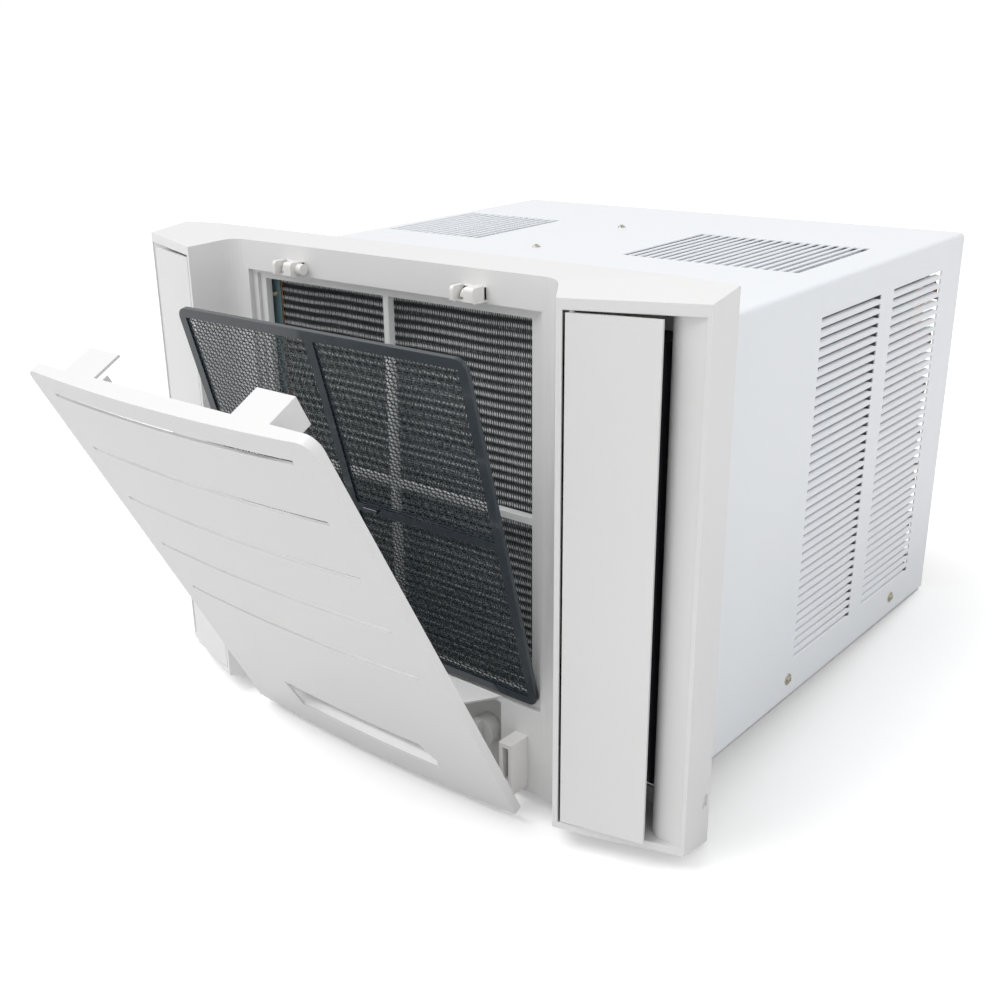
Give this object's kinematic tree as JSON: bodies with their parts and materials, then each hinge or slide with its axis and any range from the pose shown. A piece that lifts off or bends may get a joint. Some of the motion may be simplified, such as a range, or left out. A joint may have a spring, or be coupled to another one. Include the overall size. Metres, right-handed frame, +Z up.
{
  "type": "window air conditioner",
  "caption": "Window air conditioner with a louvred steel case, a bowed intake panel tilted open over a leaning filter, and a side outlet with a vertical flap in each wing.",
  "frame": {"origin": "underside of the base pan, midway across, in the plane of the case's front edge", "axes": "+X to the right as seen from the room, +Y from the room to outdoors, +Z up"},
  "size_m": [0.6346, 0.8416, 0.4737],
  "materials": {
    "case_paint": "satin",
    "fascia_plastic": "gloss",
    "bracket_plastic": "satin",
    "zinc": "zinc plated",
    "screw_zinc": "yellow zinc",
    "filter_plastic": "satin",
    "filter_net": "woven",
    "duct_plastic": "matte",
    "control_plastic": "satin",
    "fins": "bare",
    "copper": "copper",
    "black_paint": "satin",
    "fan_plastic": "matte",
    "foam": "matte",
    "rubber": "matte",
    "steel": "bare",
    "motor_grey": "satin"
  },
  "bodies": {
    "chassis": {"base_pan": "zinc", "case_top_panel": "case_paint", "case_left": "case_paint", "case_right": "case_paint", "rear_guard": "zinc", "side_screws": "screw_zinc", "top_screws": "screw_zinc", "fascia": "fascia_plastic", "intake_grid": "fascia_plastic", "hinge_bracket_left": "bracket_plastic", "hinge_bracket_right": "bracket_plastic", "latch_left": "bracket_plastic", "latch_right": "bracket_plastic", "duct_left": "duct_plastic", "duct_right": "duct_plastic", "control_plate": "control_plastic", "control_box": "zinc", "mode_switch": "control_plastic", "thermostat": "steel", "capacitor": "steel", "evaporator_fins": "fins", "evaporator_tubes": "copper", "drip_tray": "foam", "blower_housing": "foam", "blower_scroll": "foam", "fan_motor": "motor_grey", "motor_stand": "zinc", "bulkhead": "zinc", "condenser_fins": "fins", "condenser_tubes": "copper", "condenser_shroud": "zinc", "compressor": "black_paint", "accumulator": "black_paint", "compressor_grommets": "rubber", "compressor_bolts": "steel", "top_brace": "zinc", "suction_pipe": "copper", "discharge_pipe": "copper", "capillary_tube": "copper", "cord_gland": "rubber", "drain_spigot": "rubber"},
    "panel": {"grille_panel": "fascia_plastic"},
    "filter": {"filter_frame": "filter_plastic", "filter_mesh": "filter_net"},
    "flap_left": {"flap_left": "fascia_plastic"},
    "flap_right": {"flap_right": "fascia_plastic"},
    "vane_left_1": {"vane_left_1": "duct_plastic"},
    "vane_left_2": {"vane_left_2": "duct_plastic"},
    "vane_left_3": {"vane_left_3": "duct_plastic"},
    "link_left": {"link_left": "duct_plastic"},
    "vane_right_1": {"vane_right_1": "duct_plastic"},
    "vane_right_2": {"vane_right_2": "duct_plastic"},
    "vane_right_3": {"vane_right_3": "duct_plastic"},
    "link_right": {"link_right": "duct_plastic"},
    "rotor": {"blower_wheel": "fan_plastic", "fan_shaft": "steel", "axial_fan": "fan_plastic"},
    "knob_mode": {"knob_mode": "control_plastic"},
    "knob_thermostat": {"knob_thermostat": "control_plastic"},
    "vent_lever": {"vent_lever": "control_plastic"}
  },
  "joints": [
    {"name": "panel_hinge", "type": "hinge", "parent": "chassis", "child": "panel", "pos_m": [0, -0.06, -0.0114], "axis": [1, 0, 0], "range_deg": [-28.2, 0]},
    {"name": "filter_tilt", "type": "hinge", "parent": "chassis", "child": "filter", "pos_m": [0, -0.0412, 0.0632], "axis": [1, 0, 0], "range_deg": [-15.2, 0]},
    {"name": "flap_right_hinge", "type": "hinge", "parent": "chassis", "child": "flap_right", "pos_m": [0.2201, -0.072, 0.2], "axis": [0, 0, 1], "range_deg": [-25, 16]},
    {"name": "flap_left_hinge", "type": "hinge", "parent": "chassis", "child": "flap_left", "pos_m": [-0.2201, -0.072, 0.2], "axis": [0, 0, 1], "range_deg": [-16, 25]},
    {"name": "vane_left_1_hinge", "type": "hinge", "parent": "chassis", "child": "vane_left_1", "pos_m": [-0.2465, -0.014, 0.0834], "axis": [1, 0, 0], "range_deg": [-20, 20]},
    {"name": "vane_left_2_hinge", "type": "hinge", "parent": "chassis", "child": "vane_left_2", "pos_m": [-0.2465, -0.014, 0.1894], "axis": [1, 0, 0], "range_deg": [-20, 20]},
    {"name": "vane_left_3_hinge", "type": "hinge", "parent": "chassis", "child": "vane_left_3", "pos_m": [-0.2465, -0.014, 0.2954], "axis": [1, 0, 0], "range_deg": [-20, 20]},
    {"name": "link_left_slide", "type": "slide", "parent": "chassis", "child": "link_left", "axis": [0, 0, 1], "range_m": [-0.0043, 0.0043]},
    {"name": "vane_right_1_hinge", "type": "hinge", "parent": "chassis", "child": "vane_right_1", "pos_m": [0.2465, -0.014, 0.0834], "axis": [1, 0, 0], "range_deg": [-20, 20]},
    {"name": "vane_right_2_hinge", "type": "hinge", "parent": "chassis", "child": "vane_right_2", "pos_m": [0.2465, -0.014, 0.1894], "axis": [1, 0, 0], "range_deg": [-20, 20]},
    {"name": "vane_right_3_hinge", "type": "hinge", "parent": "chassis", "child": "vane_right_3", "pos_m": [0.2465, -0.014, 0.2954], "axis": [1, 0, 0], "range_deg": [-20, 20]},
    {"name": "link_right_slide", "type": "slide", "parent": "chassis", "child": "link_right", "axis": [0, 0, 1], "range_m": [-0.0043, 0.0043]},
    {"name": "fan_spin", "type": "hinge", "parent": "chassis", "child": "rotor", "pos_m": [0, 0.284, 0.2], "axis": [0, 1, 0], "continuous": true},
    {"name": "knob_mode_turn", "type": "hinge", "parent": "chassis", "child": "knob_mode", "pos_m": [-0.106, -0.04, 0.0154], "axis": [0, 1, 0], "range_deg": [-120, 120]},
    {"name": "knob_thermostat_turn", "type": "hinge", "parent": "chassis", "child": "knob_thermostat", "pos_m": [0.106, -0.04, 0.0154], "axis": [0, 1, 0], "range_deg": [-120, 120]},
    {"name": "vent_lever_slide", "type": "slide", "parent": "chassis", "child": "vent_lever", "axis": [1, 0, 0], "range_m": [-0.012, 0.012]}
  ],
  "couplings": [
    {"joint": "filter_tilt", "follows": "panel_hinge", "ratio": 0.53},
    {"joint": "vane_left_1_hinge", "follows": "vane_left_2_hinge", "ratio": 1},
    {"joint": "vane_left_3_hinge", "follows": "vane_left_2_hinge", "ratio": 1},
    {"joint": "link_left_slide", "follows": "vane_left_2_hinge", "m_per_rad": 0.012},
    {"joint": "vane_right_1_hinge", "follows": "vane_right_2_hinge", "ratio": 1},
    {"joint": "vane_right_3_hinge", "follows": "vane_right_2_hinge", "ratio": 1},
    {"joint": "link_right_slide", "follows": "vane_right_2_hinge", "m_per_rad": 0.012}
  ]
}
